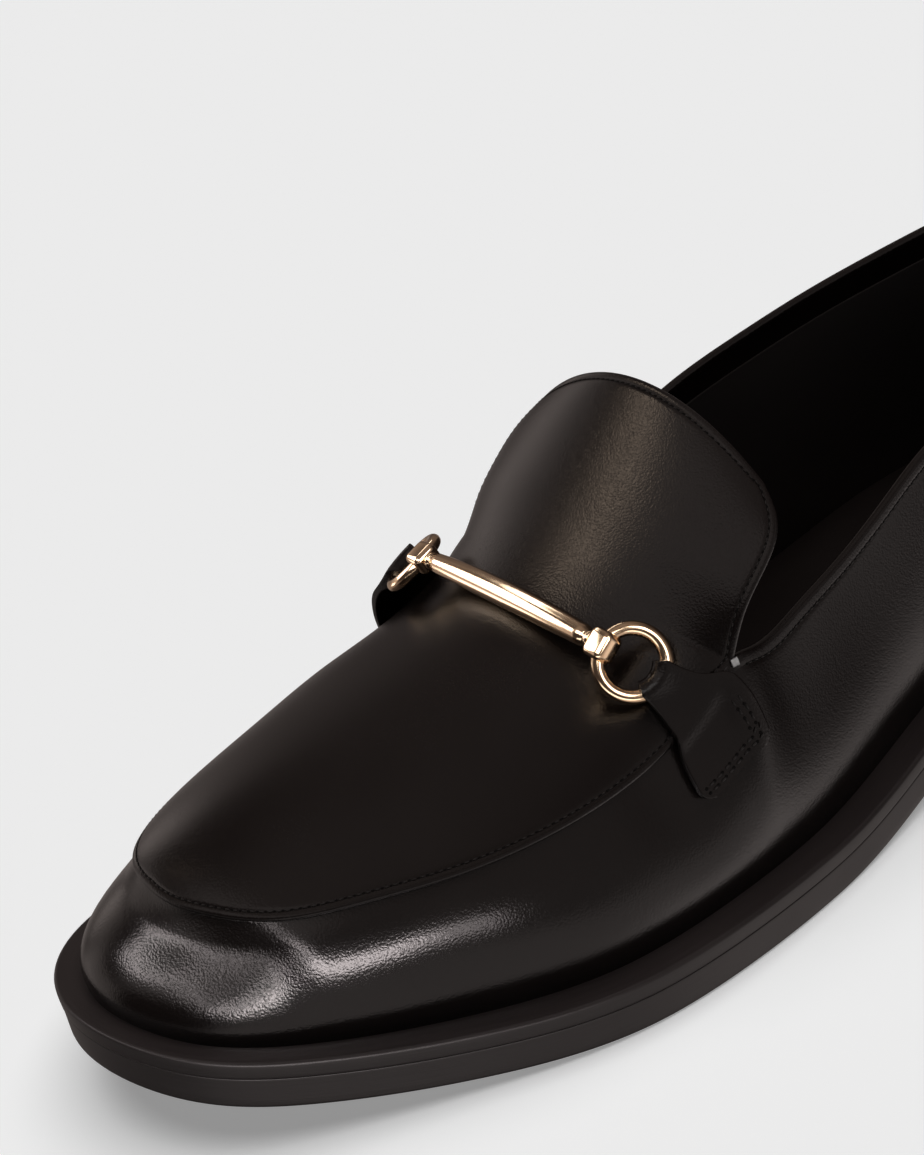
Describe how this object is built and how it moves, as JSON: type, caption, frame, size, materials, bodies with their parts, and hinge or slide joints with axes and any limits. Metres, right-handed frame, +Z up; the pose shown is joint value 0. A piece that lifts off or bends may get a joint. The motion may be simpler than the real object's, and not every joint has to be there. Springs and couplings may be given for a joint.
{
  "type": "loafer",
  "caption": "Slip-on leather loafer with a raised apron seam, a standing tongue, a low heel, and a metal bit whose end rings are held by side straps.",
  "frame": {"origin": "on the floor under the middle of the shoe's bounding box", "axes": "+Z up, +Y from the toe to the heel, +X towards the outer side of the foot"},
  "size_m": [0.0989, 0.2737, 0.0843],
  "materials": {
    "calf": "smooth black calf with a fine grain and a soft shine",
    "rubber": "satin black",
    "lining": "matte black lining leather",
    "gold": "polished light gold plating"
  },
  "bodies": {
    "root": {"outsole": "rubber", "welt": "rubber", "heel": "rubber", "insole": "lining", "upper": "calf", "bit_bar": "gold", "bit_ring_outer": "gold", "bit_ring_inner": "gold", "strap_outer": "calf", "strap_inner": "calf"}
  },
  "joints": []
}
